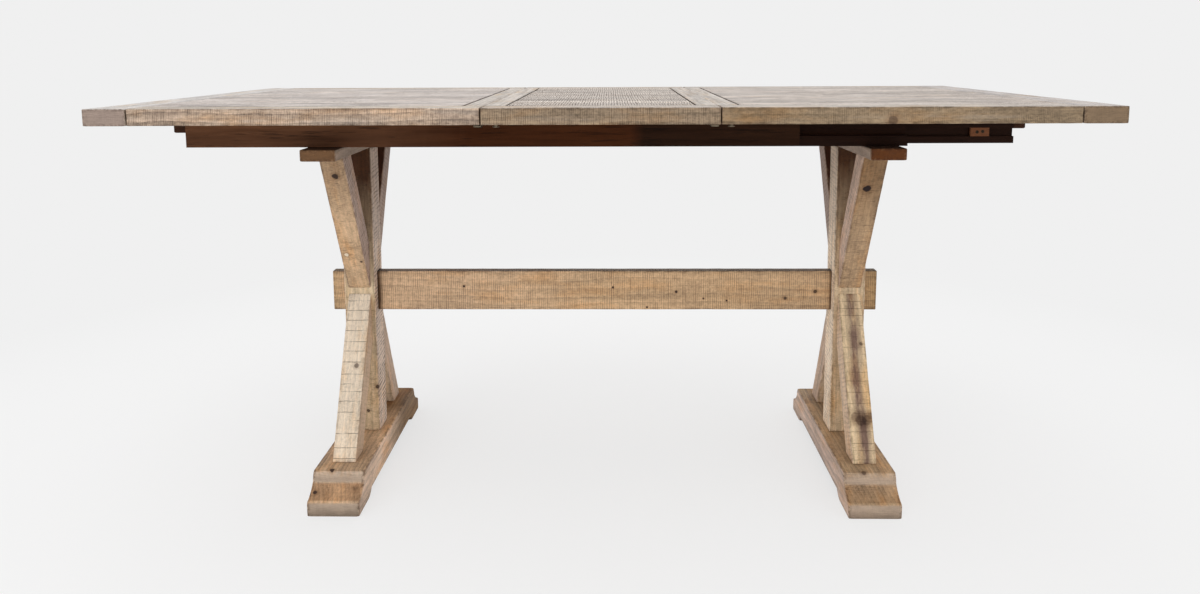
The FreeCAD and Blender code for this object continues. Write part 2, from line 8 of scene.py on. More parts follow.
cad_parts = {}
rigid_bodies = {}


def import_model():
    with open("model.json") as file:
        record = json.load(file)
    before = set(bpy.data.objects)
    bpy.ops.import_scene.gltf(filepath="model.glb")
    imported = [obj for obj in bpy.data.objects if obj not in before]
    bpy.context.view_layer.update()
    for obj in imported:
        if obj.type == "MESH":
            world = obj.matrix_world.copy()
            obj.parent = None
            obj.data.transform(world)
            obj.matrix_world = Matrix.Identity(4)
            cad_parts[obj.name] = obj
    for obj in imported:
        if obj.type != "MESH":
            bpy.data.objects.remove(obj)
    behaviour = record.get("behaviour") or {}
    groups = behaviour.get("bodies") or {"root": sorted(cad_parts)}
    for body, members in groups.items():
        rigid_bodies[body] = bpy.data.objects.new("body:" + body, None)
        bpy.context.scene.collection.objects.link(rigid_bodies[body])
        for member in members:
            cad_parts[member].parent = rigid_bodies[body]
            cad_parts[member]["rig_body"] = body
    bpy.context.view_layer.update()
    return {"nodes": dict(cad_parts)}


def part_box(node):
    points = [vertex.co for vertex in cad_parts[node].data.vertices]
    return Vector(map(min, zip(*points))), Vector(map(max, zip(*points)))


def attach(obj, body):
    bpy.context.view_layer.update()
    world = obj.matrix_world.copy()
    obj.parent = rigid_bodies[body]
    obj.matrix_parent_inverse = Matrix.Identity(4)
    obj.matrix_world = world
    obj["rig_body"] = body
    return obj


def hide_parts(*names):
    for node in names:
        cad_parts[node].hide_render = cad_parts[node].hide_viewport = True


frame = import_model()

# Counter-height trestle dining table. Lengths are in metres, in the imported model's own frame.
# Boards, legs, posts and feet are built again here with eased, worn edges and sawn pine
# materials. Cross boards, slides, gears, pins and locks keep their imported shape.

# Camera, near the photograph's place, with a small tilt in place of part of its lens shift
camera_place = (0.02266, -2.32021, 1.02173)
camera_pitch = math.radians(-7.75)
camera_yaw = 0.01846
camera_roll = -0.0044
camera_lens = 28.757
camera_sensor = 36.0
camera_shift = (0.0042, -0.097)

# Easing and wear of the edges
board_ease = 0.0017
top_ease = 0.0012
frame_ease = 0.0026
foot_ease = 0.003
rim_width = 0.005
arc_steps = 3
board_wear = 0.0006
foot_wear = 0.0008

# Distance between the rings of mesh points along each sort of board
ring_step = {"plank": 0.05, "end": 0.03, "border": 0.02, "foot": 0.02, "beam": 0.02, "post": 0.015,
             "stretcher": 0.015, "leg": 0.012}

# A board's grain and wear are moved by a number, counted on from the one of its sort
first_seed = {"end": 1, "front": 5, "back": 9, "left": 20, "right": 40, "leaf": 60, "cross": 80,
              "tongue": 90, "foot": 100, "post": 110, "beam": 120, "leg": 130, "stretcher": 150}
seed_spread = (3.17, 0.713, 0.391)

# Boards of the top. Plank widths are shares, from the front, of the depth between the borders
plank_shares = (0.085, 0.125, 0.14, 0.12, 0.178, 0.176, 0.176)
plank_joint = 0.0011
plank_groove = 0.004
board_gap = 0.001
end_gap = 0.0028
tongue_bite = 0.0004
tongue_half = 0.005
tongue_setback = 0.004

# Trestles
leg_thickness = 0.059
foot_top_setback = 0.059
foot_shoulder_drop = 0.0215
foot_shoulder_run = 0.011
foot_shoulder_bulge = 0.0025
foot_cove_end_height = 0.034
foot_cove_bulge = 0.0035
foot_nose_radius = 0.008
foot_pad_length = 0.083
foot_arch_rise = 0.015
foot_arch_run = 0.030
foot_arch_bulge = 0.0035
foot_curve_steps = {"arch": 5, "nose": 4, "cove": 8, "shoulder": 5}
# Painted light on the feet's profile: pale shoulders as painted highlight, darker hollows as painted shade,
# stronger on the left
foot_pale_start = 0.268
foot_shoulder_height = 0.058
foot_profile_light = {"left": 1.0, "right": 0.55}

# Screws
screw_radius = 0.0036
screw_height = 0.0003
screw_points = 24
stop_screw_inset = 0.006
stop_screw_rise = 0.001
cleat_screw_shares = (0.12, 0.5, 0.88)

# How strong each layer of the pine is, unless a board has its own
plain_pine = {
    "saw": 0.35, "saw_step": 0.0034, "saw_bare": 0.38, "slant": 0.0,
    "cuts": 0.0, "cut_step": 0.03, "cut_reach": 60, "cut_bare": 0.46, "side_marks": 0.0,
    "figure": 1.0, "fibre": 0.6, "cloud": 0.5, "streak": 0.5, "broad": 0.9, "mottle": 0.9, "contrast": 1.0,
    "wash": 0.35, "honey": 0.75, "weather": 0.0, "streaks": 0.0, "edge_dirt": 0.42,
    # The last two entries are painted shade by steps along the model's axes, and how much reaches the narrow
    # sides
    "stain": None, "shades": (), "shade_side": 1.0,
}
side_mark_step = 0.0105
side_mark_lean = -0.12

# Background, floor and ambient light
background_level = 0.871
floor_drop = 0.0003
floor_reach = 30.0
floor_paper = (0.865, 0.877)
floor_fade = (1.2, 2.4)
floor_glow = 0.7
floor_glow_level = 0.94
ambient_level = 0.8


def rgb(red, green, blue):
    """Screen levels from 0 to 255 as the shader's linear colour."""
    def linear(level):
        share = level / 255
        return share / 12.92 if share <= 0.04045 else ((share + 0.055) / 1.055) ** 2.4
    return (linear(red), linear(green), linear(blue), 1.0)


class Graph:
    """The node tree of a material or the world, with short calls that add and join nodes."""

    def __init__(self, owner):
        owner.use_nodes = True
        self.owner = owner
        self.tree = owner.node_tree

    def node(self, kind, inputs=None, **settings):
        made = self.tree.nodes.new("ShaderNode" + kind)
        for key, value in settings.items():
            setattr(made, key, value)
        for key, value in (inputs or {}).items():
            self.put(made.inputs[key], value)
        return made

    def put(self, socket, value):
        """Join a socket to an output, or set its value."""
        if isinstance(value, bpy.types.NodeSocket):
            self.tree.links.new(value, socket)
        else:
            socket.default_value = value

    def here(self):
        """The place on the object, in the model's own frame."""
        return self.node("TexCoord").outputs["Object"]

    def attribute(self, name, output="Fac"):
        return self.node("Attribute", attribute_name=name).outputs[output]

    def parts(self, place):
        """A place's three coordinates."""
        return self.node("SeparateXYZ", {0: place}).outputs

    def joined(self, kind, first, second, third):
        return self.node("Combine" + kind, {0: first, 1: second, 2: third}).outputs[0]

    def grey(self, level):
        return self.joined("Color", level, level, level)

    def math(self, operation, first, second=0.0):
        return self.node("Math", {0: first, 1: second}, operation=operation).outputs[0]

    def times(self, first, second):
        return self.math("MULTIPLY", first, second)

    def plus(self, first, second):
        return self.math("ADD", first, second)

    def minus(self, first, second):
        return self.math("SUBTRACT", first, second)

    def total(self, start, *terms):
        """A start level plus each value's distance from one half times its weight."""
        level = start
        for value, weight in terms:
            level = self.plus(level, self.times(self.minus(value, 0.5), weight))
        return level

    def vector(self, operation, first, second=(0.0, 0.0, 0.0)):
        made = self.node("VectorMath", {0: first, 1: second}, operation=operation)
        return made.outputs["Value" if operation == "LENGTH" else "Vector"]

    def span(self, value, low, high, to_low=0.0, to_high=1.0):
        """A value between low and high, moved between two others and held there."""
        return self.node("MapRange", {0: value, 1: low, 2: high, 3: to_low, 4: to_high}).outputs[0]

    def noise(self, place, stretch, detail=2.0, roughness=0.5):
        """Soft noise over a place, with its own count per metre along each direction."""
        inputs = {"Vector": self.vector("MULTIPLY", place, stretch), "Scale": 1.0, "Detail": detail,
                  "Roughness": roughness}
        return self.node("TexNoise", inputs).outputs[0]

    def bands(self, distance, spacing, ragged, place):
        """Soft parallel bands, one each spacing, along a distance."""
        inputs = {"Vector": self.joined("XYZ", distance, place, 0.0), "Scale": math.pi / 10 / spacing,
                  "Distortion": ragged, "Detail": 2.0, "Detail Scale": 2.0, "Detail Roughness": 0.6}
        settings = {"wave_type": "BANDS", "bands_direction": "X", "wave_profile": "SIN"}
        return self.node("TexWave", inputs, **settings).outputs["Fac"]

    def mix(self, share, first, second, blend="MIX"):
        made = self.node("Mix", data_type="RGBA", blend_type=blend)
        for index, value in ((0, share), (6, first), (7, second)):
            self.put(made.inputs[index], value)
        return made.outputs[2]

    def multiply(self, color, other):
        return self.mix(1.0, color, other, "MULTIPLY")

    def darken(self, color, share, tint):
        """Multiply a colour by a tint in screen levels, as far as a share."""
        return self.mix(share, color, self.multiply(color, rgb(*tint)))

    def bump(self, height, distance, strength):
        return self.node("Bump", {"Height": height, "Distance": distance, "Strength": strength}).outputs[0]

    def finish(self, **values):
        """Set the surface shader's inputs."""
        shader = self.tree.nodes["Principled BSDF"]
        for key, value in values.items():
            self.put(shader.inputs[key.replace("_", " ")], value)
        return self.owner

    def show(self, output, share, first, second):
        """Mix two shaders as far as a share, and show them."""
        both = self.node("MixShader", {0: share, 1: first.outputs[0], 2: second.outputs[0]})
        self.put(self.tree.nodes[output].inputs["Surface"], both.outputs[0])


def growth_rings(graph, place):
    """Rings that run round the length of a board, far apart where the cut is flat."""
    bend = graph.noise(place, (1.6, 6, 6))
    shift = graph.joined("XYZ", 0.0, graph.times(bend, 0.035), 0.03)
    rings_place = graph.vector("ADD", graph.vector("MULTIPLY", place, (0.13, 1, 1)), shift)
    inputs = {"Vector": rings_place, "Scale": 34.0, "Distortion": 3.0, "Detail": 2.0, "Detail Scale": 1.4}
    settings = {"wave_type": "RINGS", "rings_direction": "X", "wave_profile": "SAW"}
    return graph.math("POWER", graph.node("TexWave", inputs, **settings).outputs["Fac"], 1.6)


def painted_profile_light(graph, color):
    """Painted light on the feet's profile, which only the feet have: a pale shoulder as painted highlight and
    a darker hollow as painted shade.
    """
    profile_light = graph.attribute("pale")
    color = graph.mix(graph.span(profile_light, 0.0, 1.0, 0.0, 0.45), color, rgb(222, 206, 190))
    return graph.darken(color, graph.span(profile_light, 0.0, -1.0, 0.0, 0.7), (212, 194, 176))


def weathered(graph, color, place, look):
    """Grey wash in patches, honey where it has worn off, and dark and light weathered streaks."""
    patch = graph.noise(place, (7, 26, 26), 4.0, 0.6)
    color = graph.darken(color, graph.span(patch, 0.5, 0.75, 0.0, look["wash"]), (196, 196, 204))
    color = graph.darken(color, graph.span(patch, 0.48, 0.25, 0.0, look["honey"]), (255, 226, 184))
    weather = graph.span(graph.noise(place, (8, 60, 60), 3.0, 0.65), 0.56, 0.66)
    color = graph.darken(color, graph.times(weather, look["weather"]), (176, 164, 158))
    if look["streaks"]:
        dark = graph.span(graph.noise(place, (2.2, 40, 40), 5.0, 0.75), 0.53, 0.62)
        color = graph.darken(color, graph.times(dark, look["streaks"]), (158, 146, 142))
        light = graph.span(graph.noise(place, (2.6, 46, 46), 4.0, 0.7), 0.44, 0.36)
        color = graph.mix(graph.times(light, look["streaks"] * 0.4), color, rgb(228, 219, 210))
    return color


def saw_comb(graph, color, place, look):
    """The fine torn comb that the saw leaves across the grain. Returns colour and height."""
    part = graph.parts(place)
    slanted = graph.times(graph.plus(part[1], part[2]), look["slant"])
    wander = graph.times(graph.noise(place, (3, 18, 18), 1.0), 0.006)
    along = graph.plus(graph.plus(part[0], slanted), wander)
    fine = graph.bands(along, look["saw_step"], 4.5, graph.times(part[1], 0.12))
    cover = graph.span(graph.noise(place, (11, 30, 30), 3.0, 0.7), look["saw_bare"], look["saw_bare"] + 0.24)
    torn = graph.span(graph.noise(place, (90, 70, 70), 3.0, 0.7), 0.36, 0.56, 0.25, 1.0)
    saw = graph.times(graph.times(graph.math("POWER", fine, 1.6), cover), torn)
    color = graph.darken(color, graph.times(saw, look["saw"]), (112, 98, 90))
    return color, graph.times(saw, -0.6)


def saw_cuts(graph, color, height, place, look):
    """A few deep cuts of the saw, mostly on the faces."""
    drift = graph.times(graph.noise(place, (6, 40, 40)), 0.16)
    steps = graph.plus(graph.math("DIVIDE", graph.parts(place)[0], look["cut_step"]), drift)
    cells = graph.node("TexVoronoi", {"W": steps, "Scale": 1.0, "Randomness": 0.75},
                       voronoi_dimensions="1D", feature="DISTANCE_TO_EDGE").outputs["Distance"]
    broken = graph.noise(place, (22, look["cut_reach"], look["cut_reach"]), 3.0, 0.7)
    broken = graph.span(broken, look["cut_bare"], look["cut_bare"] + 0.14)
    on_face = graph.span(graph.attribute("side"), 0.0, 1.0, 1.0, 0.25)
    deep = graph.times(graph.span(cells, 0.036, 0.01), graph.times(broken, on_face))
    color = graph.darken(color, graph.times(deep, look["cuts"]), (88, 76, 70))
    return color, graph.minus(height, deep)


def side_strokes(graph, color, height, place, look):
    """Broad strokes of the saw over the narrow sides."""
    part = graph.parts(place)
    uneven = graph.times(graph.noise(place, (38, 12, 12)), 0.016)
    lean = graph.plus(graph.plus(part[0], uneven), graph.times(part[2], side_mark_lean))
    stroke = graph.bands(lean, side_mark_step, 2.4, graph.times(part[2], 0.3))
    cover = graph.span(graph.noise(place, (26, 20, 30), 3.0, 0.7), 0.36, 0.66)
    stroke = graph.times(graph.span(stroke, 0.5, 0.8), cover)
    stroke = graph.times(stroke, graph.attribute("side"))
    color = graph.darken(color, graph.times(stroke, look["side_marks"]), (92, 74, 72))
    return color, graph.minus(height, graph.times(stroke, 0.5))


def knotted(graph, color, height, knots):
    """Lay knots, each (place, radius, dark), over a colour and a height. A dark below 0 is a pale plug."""
    place = graph.here()
    blur = graph.noise(place, (140, 140, 140))
    for centre, radius, dark in knots:
        away = graph.vector("LENGTH", graph.vector("SUBTRACT", place, centre))
        away = graph.plus(graph.math("DIVIDE", away, radius), graph.times(blur, 0.7))
        halo = graph.span(away, 2.6, 1.2, 0.0, 0.38)
        core = graph.span(away, 1.45, 1.2, 0.0, abs(dark))
        color = graph.mix(halo, color, rgb(112, 72, 40))
        color = graph.mix(core, color, rgb(44, 27, 26) if dark > 0 else rgb(240, 224, 200))
        height = graph.minus(height, graph.times(core, 0.8))
    return color, height


def stained(graph, color, x, half_width):
    """A smoky stain that wanders down the front of a leg, about an X."""
    place = graph.here()
    wander = graph.times(graph.minus(graph.noise(place, (1, 7, 7)), 0.5), 0.04)
    away = graph.math("ABSOLUTE", graph.minus(graph.parts(place)[0], graph.plus(wander, x)))
    cover = graph.span(graph.noise(place, (40, 14, 14), 4.0, 0.65), 0.34, 0.56, 0.35, 1.0)
    share = graph.times(graph.span(away, half_width, half_width / 4), cover)
    front = graph.minus(1.0, graph.attribute("side"))
    return graph.darken(color, graph.times(share, front), (146, 132, 142))


def end_grain(graph, color, place, end):
    """The ends of a board: flat year rings, crossed by the saw, in a darker stain."""
    part = graph.parts(place)
    lift = graph.times(graph.noise(place, (20, 20, 60)), 0.012)
    rings = graph.bands(graph.plus(part[2], lift), 0.0034, 2.5, part[1])
    speck = graph.noise(place, (300, 170, 420), 3.0, 0.7)
    saw = graph.noise(place, (60, 500, 40), 3.0, 0.7)
    patch = graph.noise(place, (20, 24, 62), 3.0, 0.65)
    tone = graph.total(0.99, (rings, -0.143), (speck, 0.1925), (saw, 0.275), (patch, 0.715))
    return graph.mix(graph.attribute("end"), color, graph.multiply(rgb(*end), graph.grey(tone)))


def painted_shade(graph, color, shades, on_sides=1.0):
    """Painted shade: darken a colour by steps along the model's axes, less on the narrow sides.
    A shade is (axis, start, full, tint), and may add where it ends."""
    share = graph.span(graph.attribute("side"), 0.0, 1.0, 1.0, on_sides) if on_sides < 1 else 1.0
    place = graph.here()
    part = graph.parts(place)
    ragged = graph.times(graph.minus(graph.noise(place, (40, 40, 12), 3.0, 0.6), 0.5), 0.06)
    for axis, start, full, tint, *stop in shades:
        edge = graph.plus(part[axis], graph.times(ragged, abs(full - start) * 6))
        reached = graph.span(edge, start, full)
        if stop:
            past = graph.math("GREATER_THAN" if full > start else "LESS_THAN", part[axis], stop[0])
            reached = graph.times(reached, graph.minus(1.0, past))
        color = graph.darken(color, graph.times(reached, share), tint)
    return color


def worn_corners(graph, color, place, look):
    """Worn corners, darker where dirt stays, with pale rubbed spots."""
    rim = graph.attribute("rim")
    rub = graph.noise(place, (45, 160, 160), 3.0, 0.6)
    dirt = graph.span(rub, 0.42, 0.56, look["edge_dirt"], 0.0)
    color = graph.darken(color, graph.times(rim, dirt), (120, 98, 80))
    rubbed = graph.times(rim, graph.span(rub, 0.56, 0.68, 0.0, 0.28))
    return graph.mix(rubbed, color, graph.mix(0.35, color, rgb(232, 205, 172)))


# Every material by its name
materials = {}


def pine(name, face, side, top, end, knots=(), **changes):
    """Rough-sawn reclaimed pine. Colours are for the faces, narrow sides, upper side and ends."""
    look = {**plain_pine, **changes}
    graph = Graph(bpy.data.materials.new(name + "_wood"))
    place = graph.attribute("grain", "Vector")
    # Faces, sides and upper side differ partly in their wood and partly as painted light: greyer tops are
    # painted sheen
    color = graph.mix(graph.attribute("side"), rgb(*face), rgb(*side))
    color = graph.mix(graph.attribute("up"), color, rgb(*top))
    rings = growth_rings(graph, place)
    fibre = graph.noise(place, (9, 320, 320), 3.0, 0.65)
    cloud = graph.noise(place, (4, 16, 16), 3.0, 0.6)
    streak = graph.noise(place, (2.2, 75, 75), 2.0, 0.6)
    broad = graph.noise(place, (4.5, 28, 28), 3.0, 0.7)
    mottle = graph.noise(place, (110, 230, 230), 3.0, 0.7)
    layers = ((rings, -0.26 * look["figure"]), (fibre, look["fibre"]), (cloud, look["cloud"]),
              (streak, look["streak"]), (broad, look["broad"]), (mottle, look["mottle"]))
    tone = graph.total(1.0, *((layer, weight * look["contrast"]) for layer, weight in layers))
    tone = graph.plus(tone, graph.times(graph.attribute("tint"), 0.09))
    color = painted_profile_light(graph, graph.multiply(color, graph.grey(tone)))
    color = weathered(graph, color, place, look)
    color, height = saw_comb(graph, color, place, look)
    if look["cuts"]:
        color, height = saw_cuts(graph, color, height, place, look)
    if look["side_marks"]:
        color, height = side_strokes(graph, color, height, place, look)

    # Open pores, and dirt that stays in them
    fleck = graph.span(graph.noise(place, (70, 800, 800), 2.0, 0.6), 0.64, 0.74)
    color = graph.darken(color, graph.times(fleck, 0.4), (105, 90, 78))
    height = graph.plus(height, graph.total(0.0, (fibre, 0.45), (fleck, -0.4), (rings, -0.25)))
    if knots:
        color, height = knotted(graph, color, height, knots)
    if look["stain"]:
        color = stained(graph, color, *look["stain"])
    color = end_grain(graph, color, place, end)
    if look["shades"]:
        color = painted_shade(graph, color, look["shades"], look["shade_side"])
    color = worn_corners(graph, color, place, look)
    materials[name] = graph.finish(
        Base_Color=color, Roughness=graph.span(cloud, 0.3, 0.7, 0.58, 0.78),
        Normal=graph.bump(height, 0.0007, 0.8), Specular_IOR_Level=0.28)


def leg_pine(name, face, side, top, **changes):
    """The pine of the posts and legs."""
    look = {"saw": 0.5, "saw_step": 0.0031, "wash": 0.3, "broad": 0.55, "streak": 0.3, "contrast": 0.85,
            "slant": 0.25, "shade_side": 0.25, **changes}
    pine(name, face, side, top, (150, 120, 92), **look)


def walnut(name, light, dark, fibres, shades=()):
    """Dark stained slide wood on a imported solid, with its own count of fibres per metre along each axis."""
    graph = Graph(bpy.data.materials.new(name + "_wood"))
    place = graph.here()
    fibre = graph.noise(place, fibres, 3.0, 0.65)
    wide = graph.noise(place, tuple(count * 0.16 for count in fibres), 3.0, 0.6)
    pores = graph.span(graph.noise(place, tuple(count * 1.8 for count in fibres), 2.0, 0.6), 0.6, 0.7)
    color = graph.mix(graph.span(wide, 0.3, 0.7), rgb(*dark), rgb(*light))
    if shades:
        color = painted_shade(graph, color, shades)
    color = graph.darken(color, graph.span(fibre, 0.35, 0.7, 0.0, 0.45), (150, 140, 130))
    color = graph.mix(graph.times(pores, 0.5), color, rgb(20, 12, 8))
    materials[name] = graph.finish(
        Base_Color=color, Roughness=graph.span(fibre, 0.3, 0.7, 0.42, 0.6),
        Normal=graph.bump(graph.minus(fibre, pores), 0.0003, 0.7), Specular_IOR_Level=0.06)


def metal(name, color, rough_low, rough_high, dark):
    """Brushed or plated metal with fine scratches and dull patches."""
    graph = Graph(bpy.data.materials.new(name + "_metal"))
    place = graph.here()
    brush = graph.noise(place, (120, 1400, 1400), 2.0, 0.6)
    patch = graph.noise(place, (90, 90, 90), 3.0, 0.6)
    shade = graph.mix(graph.span(patch, 0.45, 0.75, 0.0, 0.5), rgb(*color), rgb(*dark))
    rough = graph.span(graph.total(0.5, (brush, 0.5), (patch, 0.5)), 0.35, 0.65, rough_low, rough_high)
    materials[name] = graph.finish(
        Base_Color=shade, Metallic=1.0, Roughness=rough, Normal=graph.bump(brush, 0.00008, 0.6))


# Woods of the top
# Upper sides are lighter and greyer than the edges, partly the wood's own tone and partly a painted sheen
dark_end = (74, 56, 44)
top_look = {"saw": 1.1, "saw_step": 0.0046, "wash": 0.5, "honey": 0.3, "weather": 0.5, "mottle": 1.1,
            "streaks": 0.75}
leaf_look = {**top_look, "saw": 1.05, "saw_step": 0.0056, "saw_bare": 0.18}
pine("left_plank", (178, 164, 150), (178, 164, 150), (210, 201, 195), dark_end, **top_look)
pine("right_plank", (178, 164, 150), (178, 164, 150), (205, 195, 187), dark_end, **top_look)
pine("leaf", (170, 148, 124), (170, 148, 124), (210, 200, 190), dark_end, **leaf_look)
# Left pieces are lighter than right ones, partly their own wood and partly painted light from the left
pine("left_border", (170, 148, 124), (190, 167, 146), (204, 193, 180), (130, 106, 84), saw=0.66,
     saw_bare=0.28, wash=0.65, figure=1.6, mottle=1.2, contrast=1.1, streaks=0.3)
pine("leaf_border", (160, 138, 112), (156, 135, 111), (196, 185, 175), (130, 106, 84), saw=0.6,
     saw_bare=0.25, wash=0.5, mottle=1.2, broad=1.1, streaks=0.2)
pine("right_border", (160, 138, 112), (142, 122, 97), (194, 184, 174), (130, 106, 84), saw=0.5,
     wash=0.55, mottle=1.4, broad=1.1, streaks=0.2, knots=(((0.551, -0.508, 0.888), 0.009, 0.5),))
pine("left_end_board", (150, 132, 120), (176, 158, 140), (209, 204, 200), (152, 134, 123), saw=0.5,
     wash=0.5, contrast=0.9, streaks=0.4)
pine("right_end_board", (150, 132, 120), (160, 140, 118), (201, 194, 190), (132, 110, 86), saw=0.5,
     wash=0.5, contrast=0.9, streaks=0.4)
pine("tongue", (96, 76, 60), (96, 76, 60), (84, 66, 52), dark_end)
pine("cross_board", (150, 132, 114), (84, 66, 54), (200, 191, 182), (160, 138, 118), saw=0.5,
     wash=0.45, contrast=0.8, streaks=0.4)

# Woods of the trestles, with their knots and nail holes where the photograph has them
stretcher_front = -0.014
stretcher_knots = tuple(((x, stretcher_front, z), radius, dark) for x, z, radius, dark in (
    (-0.345, 0.445, 0.003, 0.95), (0.023, 0.442, 0.0026, 0.95), (0.179, 0.431, 0.0034, 0.95),
    (0.246, 0.414, 0.0022, 0.95), (0.303, 0.409, 0.0022, 0.95), (0.107, 0.392, 0.0022, 0.95),
    (0.447, 0.415, 0.004, 0.8), (0.52, 0.432, 0.0045, 0.8)))
# Painted shade on the stretcher: darker to the right, at its tenon ends and as the posts' shadows beside them
stretcher_shades = (
    (0, -0.1, 0.45, (243, 242, 241)), (0, -0.35, 0.0, (255, 254, 247)), (0, 0.615, 0.66, (216, 212, 196)),
    (0, -0.62, -0.67, (240, 240, 228)), (0, -0.545, -0.556, (96, 78, 56), -0.6),
    (0, 0.551, 0.559, (110, 92, 70), 0.6))
# The stretcher's upper and under faces are painted darker than its front and back, as painted shade
pine("stretcher", (150, 126, 100), (211, 177, 142), (150, 134, 122), (188, 156, 122), stretcher_knots,
     saw=0.55, saw_step=0.0047, saw_bare=0.15, honey=0.5, broad=0.6, mottle=1.0, streak=0.3,
     contrast=0.9, shades=stretcher_shades)
# Upper legs and posts darken towards their tops as painted shade under the top, less on their narrow sides
leg_pine("left_front_upper", (218, 184, 147), (202, 175, 159), (218, 184, 147), cuts=0.3, cut_reach=24,
         side_marks=0.5, saw=0.8, saw_bare=0.3, fibre=0.35, streak=0.12, figure=0.5,
         shades=((2, 0.66, 0.76, (214, 212, 210)),),
         knots=(((-0.596, -0.21, 0.745), 0.0075, 0.9), ((-0.611, -0.093, 0.541), 0.005, -0.9),
                ((-0.579, -0.082, 0.522), 0.003, 0.8)))
leg_pine("left_front_lower", (239, 221, 198), (208, 179, 151), (238, 220, 197), cuts=0.85, cut_bare=0.39,
         cut_step=0.024, cut_reach=18, side_marks=0.15, saw=0.4, saw_bare=0.44, streak=0.1, fibre=0.25,
         figure=0.6, knots=(((-0.589, -0.122, 0.278), 0.0055, 0.6),))
leg_pine("right_front_upper", (194, 162, 127), (230, 200, 179), (194, 162, 127), cuts=0.6, cut_reach=20,
         side_marks=0.4, saw=0.8, saw_bare=0.3, fibre=0.35, streak=0.12, figure=0.7,
         shades=((2, 0.6, 0.74, (200, 190, 176)),), knots=(((0.591, -0.192, 0.713), 0.0092, 1.0),))
leg_pine("right_front_lower", (230, 204, 166), (228, 200, 172), (230, 204, 166), cuts=0.6, cut_bare=0.37,
         cut_step=0.022, cut_reach=16, side_marks=0.3, stain=(0.598, 0.019), streak=0.1, fibre=0.4,
         knots=(((0.614, -0.097, 0.325), 0.004, 0.6), ((0.586, -0.179, 0.176), 0.011, 0.3),
                ((0.598, -0.184, 0.169), 0.012, 0.42), ((0.611, -0.184, 0.17), 0.012, 0.36),
                ((0.621, -0.179, 0.178), 0.008, 0.3)))
# The back legs are painted darker copies of the front ones, as painted shade
leg_pine("back_upper", (180, 150, 122), (184, 161, 147), (180, 150, 122), cuts=0.4, side_marks=0.4,
         shades=((2, 0.54, 0.7, (104, 72, 52)),))
leg_pine("back_lower", (204, 182, 156), (206, 179, 157), (204, 182, 156), cuts=0.4, side_marks=0.3)
leg_pine("left_post", (220, 196, 162), (234, 211, 192), (200, 170, 140), cuts=0.3, side_marks=0.75,
         saw=0.65, saw_bare=0.36, shade_side=0.4, shades=((2, 0.47, 0.72, (92, 62, 38)),),
         knots=(((-0.562, -0.038, 0.195), 0.005, 0.8), ((-0.587, -0.038, 0.133), 0.004, 0.8)))
leg_pine("right_post", (214, 188, 154), (254, 232, 206), (200, 170, 140), cuts=0.3, side_marks=0.35,
         saw=0.65, saw_bare=0.36, shade_side=0.4, shades=((2, 0.5, 0.76, (100, 70, 44)),))
# The beams' upper sides are painted dark, as painted shade under the rails and the top
pine("left_beam", (130, 100, 76), (170, 148, 130), (72, 50, 36), (119, 86, 56), saw=0.5, cuts=0.5,
     contrast=0.8, knots=(((-0.6, -0.328, 0.806), 0.004, 0.8),))
pine("right_beam", (120, 92, 70), (170, 148, 130), (64, 44, 32), (98, 52, 8), saw=0.5, cuts=0.5,
     contrast=0.8)
# The left foot's top darkens towards the back, as painted shade behind the post
pine("left_foot", (190, 158, 128), (220, 193, 170), (210, 176, 141), (176, 156, 137), saw=0.45,
     streak=0.1, fibre=0.45, contrast=1.1, broad=1.3, cloud=1.0, edge_dirt=0.62,
     shades=((1, -0.06, 0.14, (168, 152, 126)),),
     knots=(((-0.614, -0.266, 0.081), 0.0055, 0.9), ((-0.645, -0.3, 0.046), 0.006, 0.9),
            ((-0.556, -0.293, 0.054), 0.008, 0.35), ((-0.61, -0.326, 0.014), 0.007, 0.3)))
pine("right_foot", (180, 152, 126), (200, 177, 162), (182, 152, 118), (183, 161, 141), saw=0.45,
     streak=0.1, fibre=0.45, broad=1.2, cloud=0.9, contrast=1.1, edge_dirt=0.55,
     knots=(((0.585, -0.268, 0.079), 0.005, 0.6),))

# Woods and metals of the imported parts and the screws
along_x = (7, 110, 110)
# The outer rails are lighter and warmer to the left and darker past the middle, as painted light from the
# left
walnut("outer_rail", (132, 90, 63), (84, 54, 36), along_x,
       shades=((0, -0.5, -0.28, (186, 158, 126)), (0, 0.06, 0.09, (170, 190, 220))))
walnut("rail", (52, 28, 16), (24, 12, 7), along_x)
walnut("stop", (150, 100, 70), (112, 70, 46), (8, 90, 90))
walnut("cleat", (84, 54, 38), (52, 31, 20), (80, 8, 80))
walnut("peg", (160, 122, 84), (120, 84, 54), (120, 10, 120))
metal("gear", (168, 166, 162), 0.25, 0.42, (104, 98, 92))
metal("bolt", (150, 148, 144), 0.3, 0.5, (84, 76, 70))
metal("zinc", (138, 126, 108), 0.38, 0.55, (84, 73, 60))
metal("plate", (44, 38, 33), 0.45, 0.62, (28, 24, 21))
metal("screw", (64, 54, 44), 0.4, 0.55, (36, 30, 24))
# The screws' cross recess is near black, as painted shade in the recess
metal("recess", (34, 28, 22), 0.6, 0.8, (18, 14, 10))
metal("brass", (196, 156, 84), 0.25, 0.42, (128, 92, 46))


def placed(name, data):
    """A new object in the scene."""
    thing = bpy.data.objects.new(name, data)
    bpy.context.scene.collection.objects.link(thing)
    return thing


def grain_offset(seed):
    """How far a number moves a board's grain and wear, so that boards differ."""
    return Vector([seed * step for step in seed_spread])


